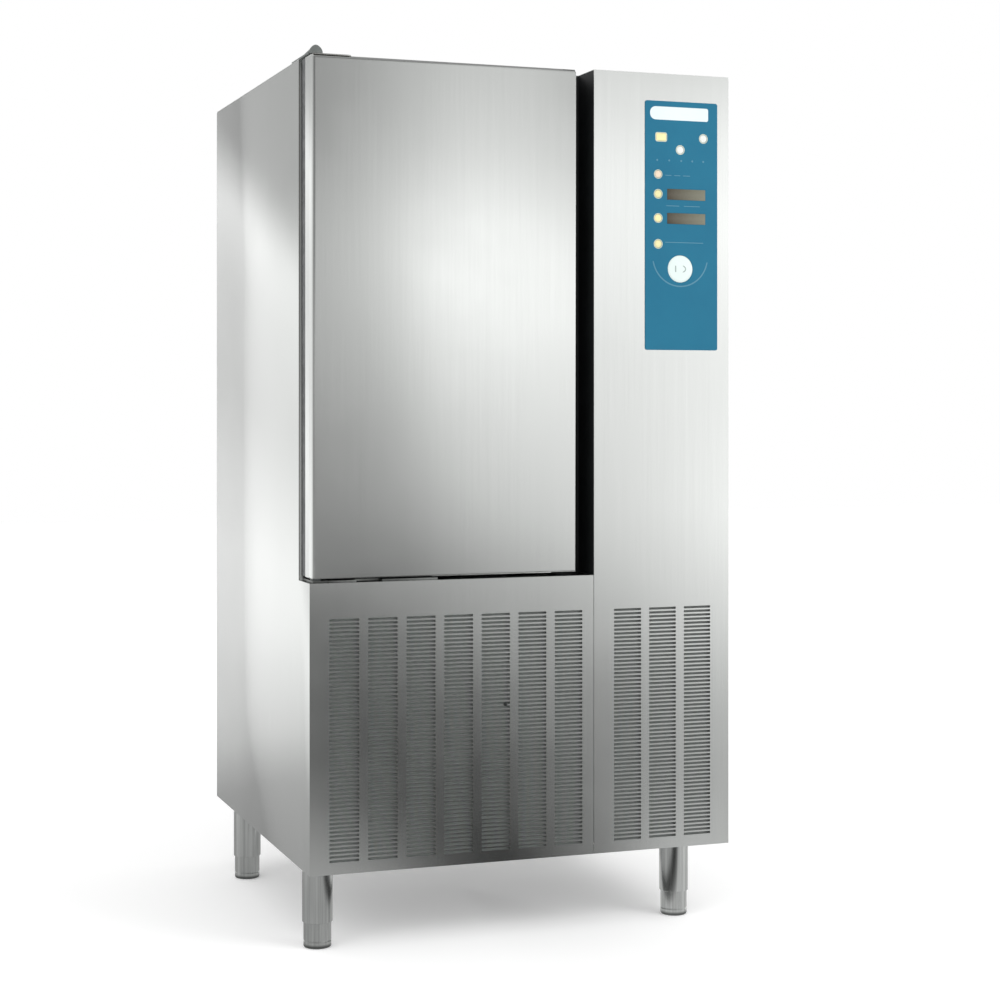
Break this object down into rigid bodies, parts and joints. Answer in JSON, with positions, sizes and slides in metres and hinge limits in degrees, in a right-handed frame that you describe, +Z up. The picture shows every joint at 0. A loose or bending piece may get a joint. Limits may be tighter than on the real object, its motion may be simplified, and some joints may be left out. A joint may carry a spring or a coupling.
{
  "type": "blast chiller",
  "caption": "Upright stainless blast chiller with a side-hung insulated door, a full-height control column, a grilled machine compartment and adjustable legs.",
  "frame": {"origin": "on the floor under the middle of the body's outer box", "axes": "+Z up, front with door and controls towards -Y, +X to the right seen from the front"},
  "size_m": [0.895, 0.86, 1.758],
  "materials": {
    "stainless": "fine brushed stainless steel, satin",
    "galvanised": "galvanised and zinc-plated steel, dull",
    "hinge_cap": "dark grey satin",
    "black_trim": "black moulded plastic, satin",
    "grey_nylon": "grey nylon",
    "insulation": "rigid foam, pale yellow",
    "fascia_blue": "blue printed polycarbonate film, semi-gloss",
    "key_cream": "cream key, satin",
    "key_white": "white key, satin",
    "start_key": "pale cyan-white key, satin",
    "display_smoke": "smoked acrylic, glossy",
    "circuit_board": "green solder mask",
    "seal_grey": "soft grey magnetic seal",
    "fin_pack": "thin aluminium fins on copper tube",
    "fan_metal": "pressed aluminium, satin",
    "motor_black": "black enamel",
    "compressor_black": "black enamel on a pressed steel pot",
    "copper": "copper tube",
    "refrigerant_line": "copper tube with a painted receiver",
    "foot_metal": "satin metal with a rounded dark tip",
    "enclosure": "grey electrical enclosure"
  },
  "bodies": {
    "cabinet": {"left_side_panel": "stainless", "right_side_panel": "stainless", "top_panel": "stainless", "cavity_liner": "stainless", "door_frame": "stainless", "lower_front_panel": "stainless", "column_front_panel": "stainless", "rack_left": "stainless", "rack_right": "stainless", "fan_deflector": "stainless", "leg_sleeve_front_left": "stainless", "leg_sleeve_front_right": "stainless", "leg_sleeve_rear_left": "stainless", "leg_sleeve_rear_right": "stainless", "rear_panel": "galvanised", "rear_grille": "galvanised", "base_frame": "galvanised", "machine_deck": "galvanised", "upper_hinge_pin": "galvanised", "lower_hinge_pin": "galvanised", "lower_hinge_bracket": "galvanised", "condenser_shroud": "galvanised", "upper_hinge_bracket": "hinge_cap", "column_trim": "black_trim", "cord_gland": "black_trim", "cabinet_foam": "insulation", "control_fascia": "fascia_blue", "display_lens": "display_smoke", "control_board": "circuit_board", "evaporator_coil": "fin_pack", "condenser_coil": "fin_pack", "evaporator_motor_upper": "motor_black", "evaporator_motor_lower": "motor_black", "condenser_motor": "motor_black", "compressor": "compressor_black", "suction_line": "copper", "liquid_line": "refrigerant_line", "electrical_box": "enclosure"},
    "door": {"door_skin": "stainless", "door_foam": "insulation", "door_inner_panel": "stainless", "door_grip": "black_trim", "door_gasket": "seal_grey", "upper_hinge_bush": "grey_nylon", "lower_hinge_bush": "grey_nylon"},
    "chill_key": {"chill_key": "key_cream"},
    "light_key": {"light_key": "key_white"},
    "freeze_key": {"freeze_key": "key_white"},
    "probe_key": {"probe_key": "key_cream"},
    "temperature_key": {"temperature_key": "key_cream"},
    "time_key": {"time_key": "key_cream"},
    "defrost_key": {"defrost_key": "key_cream"},
    "start_stop_key": {"start_stop_key": "start_key"},
    "evaporator_fan_upper": {"evaporator_fan_upper": "fan_metal"},
    "evaporator_fan_lower": {"evaporator_fan_lower": "fan_metal"},
    "condenser_fan": {"condenser_fan": "fan_metal"},
    "foot_front_left": {"leg_foot_front_left": "foot_metal"},
    "foot_front_right": {"leg_foot_front_right": "foot_metal"},
    "foot_rear_left": {"leg_foot_rear_left": "foot_metal"},
    "foot_rear_right": {"leg_foot_rear_right": "foot_metal"}
  },
  "joints": [
    {"name": "door_swing", "type": "hinge", "parent": "cabinet", "child": "door", "pos_m": [-0.431, -0.412, 1.2], "axis": [0, 0, -1], "range_deg": [0, 110]},
    {"name": "chill_press", "type": "slide", "parent": "cabinet", "child": "chill_key", "axis": [0, 1, 0], "range_m": [0, 0.001], "stiffness_N_per_m": 3000, "springref_m": -0.0005},
    {"name": "light_press", "type": "slide", "parent": "cabinet", "child": "light_key", "axis": [0, 1, 0], "range_m": [0, 0.001], "stiffness_N_per_m": 3000, "springref_m": -0.0005},
    {"name": "freeze_press", "type": "slide", "parent": "cabinet", "child": "freeze_key", "axis": [0, 1, 0], "range_m": [0, 0.001], "stiffness_N_per_m": 3000, "springref_m": -0.0005},
    {"name": "probe_press", "type": "slide", "parent": "cabinet", "child": "probe_key", "axis": [0, 1, 0], "range_m": [0, 0.001], "stiffness_N_per_m": 3000, "springref_m": -0.0005},
    {"name": "temperature_press", "type": "slide", "parent": "cabinet", "child": "temperature_key", "axis": [0, 1, 0], "range_m": [0, 0.001], "stiffness_N_per_m": 3000, "springref_m": -0.0005},
    {"name": "time_press", "type": "slide", "parent": "cabinet", "child": "time_key", "axis": [0, 1, 0], "range_m": [0, 0.001], "stiffness_N_per_m": 3000, "springref_m": -0.0005},
    {"name": "defrost_press", "type": "slide", "parent": "cabinet", "child": "defrost_key", "axis": [0, 1, 0], "range_m": [0, 0.001], "stiffness_N_per_m": 3000, "springref_m": -0.0005},
    {"name": "start_stop_press", "type": "slide", "parent": "cabinet", "child": "start_stop_key", "axis": [0, 1, 0], "range_m": [0, 0.002], "stiffness_N_per_m": 2000, "springref_m": -0.001},
    {"name": "evaporator_fan_upper_spin", "type": "hinge", "parent": "cabinet", "child": "evaporator_fan_upper", "pos_m": [0.09, 0.0425, 1.4495], "axis": [1, 0, 0], "continuous": true},
    {"name": "evaporator_fan_lower_spin", "type": "hinge", "parent": "cabinet", "child": "evaporator_fan_lower", "pos_m": [0.09, 0.0425, 1.0145], "axis": [1, 0, 0], "continuous": true},
    {"name": "condenser_fan_spin", "type": "hinge", "parent": "cabinet", "child": "condenser_fan", "pos_m": [-0.127, -0.27, 0.413], "axis": [0, 1, 0], "continuous": true},
    {"name": "foot_front_left_screw", "type": "slide", "parent": "cabinet", "child": "foot_front_left", "axis": [0, 0, -1], "range_m": [0, 0.04]},
    {"name": "foot_front_right_screw", "type": "slide", "parent": "cabinet", "child": "foot_front_right", "axis": [0, 0, -1], "range_m": [0, 0.04]},
    {"name": "foot_rear_left_screw", "type": "slide", "parent": "cabinet", "child": "foot_rear_left", "axis": [0, 0, -1], "range_m": [0, 0.04]},
    {"name": "foot_rear_right_screw", "type": "slide", "parent": "cabinet", "child": "foot_rear_right", "axis": [0, 0, -1], "range_m": [0, 0.04]}
  ]
}
